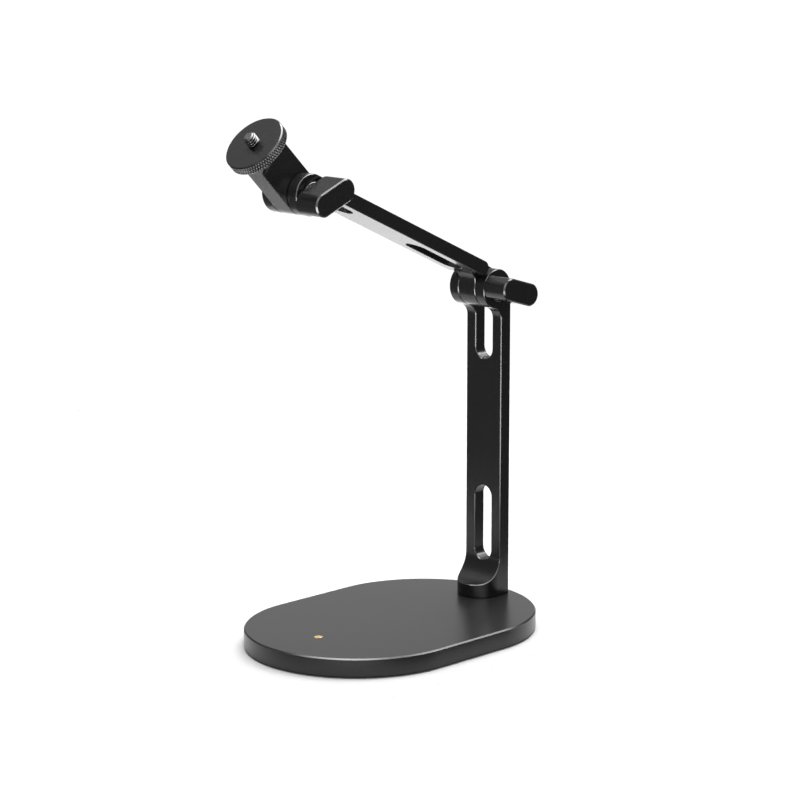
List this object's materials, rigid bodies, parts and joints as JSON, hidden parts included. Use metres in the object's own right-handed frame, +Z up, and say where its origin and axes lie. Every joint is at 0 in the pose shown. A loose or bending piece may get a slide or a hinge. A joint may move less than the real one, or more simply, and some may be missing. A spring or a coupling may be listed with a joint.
{
  "type": "boom microphone stand",
  "caption": "Black desk boom stand: stadium base plate, slotted upright post, slotted tilting boom arm and a tilting head with a knurled disc and a short threaded camera stud; two clamp knobs.",
  "frame": {"origin": "centre of the base's underside, on the surface it stands on", "axes": "+Z up, -Y the way the boom reaches, +X the side both clamp knobs are on"},
  "size_m": [0.113, 0.18, 0.2653],
  "materials": {
    "base_coat": "fine satin black coat",
    "black_anodised": "bead-blasted black anodised",
    "foot_rubber": "matte",
    "brass": "polished",
    "bright_steel": "turned",
    "screw_steel": "dark zinc",
    "washer_nylon": "matte"
  },
  "bodies": {
    "base": {"base_plate": "base_coat", "base_rubber_pad": "foot_rubber", "brass_inlay_dot": "brass", "post": "black_anodised", "post_screw_left": "screw_steel", "post_screw_right": "screw_steel", "elbow_lock_nut": "screw_steel"},
    "arm": {"boom_arm": "black_anodised", "elbow_washer_left": "washer_nylon", "elbow_washer_right": "washer_nylon", "head_lock_nut": "screw_steel"},
    "elbow_thrust": {"elbow_collar": "black_anodised"},
    "elbow_clamp": {"elbow_knob": "black_anodised", "elbow_bolt": "screw_steel"},
    "head": {"head_bracket": "black_anodised", "head_washer_left": "washer_nylon", "head_washer_right": "washer_nylon", "stud_grub_screw": "screw_steel"},
    "head_thrust": {"head_collar": "black_anodised"},
    "head_clamp": {"head_knob": "black_anodised", "head_bolt": "screw_steel"},
    "camera_screw": {"knurled_disc": "black_anodised", "camera_stud": "bright_steel"}
  },
  "joints": [
    {"name": "elbow_hinge", "type": "hinge", "parent": "base", "child": "arm", "pos_m": [0, 0.0634, 0.1705], "axis": [1, 0, 0], "range_deg": [-150, 75]},
    {"name": "head_hinge", "type": "hinge", "parent": "arm", "child": "head", "pos_m": [0, -0.06405, 0.22939], "axis": [1, 0, 0], "range_deg": [-105, 165]},
    {"name": "camera_screw_turn", "type": "hinge", "parent": "head", "child": "camera_screw", "pos_m": [0, -0.06405, 0.22939], "axis": [0, -0.7071, 0.7071], "continuous": true},
    {"name": "elbow_collar_slide", "type": "slide", "parent": "base", "child": "elbow_thrust", "axis": [1, 0, 0], "range_m": [0, 0.00138]},
    {"name": "elbow_knob_turn", "type": "hinge", "parent": "elbow_thrust", "child": "elbow_clamp", "pos_m": [0, 0.0634, 0.1705], "axis": [1, 0, 0], "range_deg": [0, 450]},
    {"name": "head_collar_slide", "type": "slide", "parent": "arm", "child": "head_thrust", "axis": [1, 0, 0], "range_m": [0, 0.00138]},
    {"name": "head_knob_turn", "type": "hinge", "parent": "head_thrust", "child": "head_clamp", "pos_m": [0, -0.06405, 0.22939], "axis": [1, 0, 0], "range_deg": [0, 450]}
  ],
  "couplings": [
    {"joint": "elbow_collar_slide", "follows": "elbow_knob_turn", "m_per_rad": 0.00015915},
    {"joint": "head_collar_slide", "follows": "head_knob_turn", "m_per_rad": 0.00015915}
  ]
}
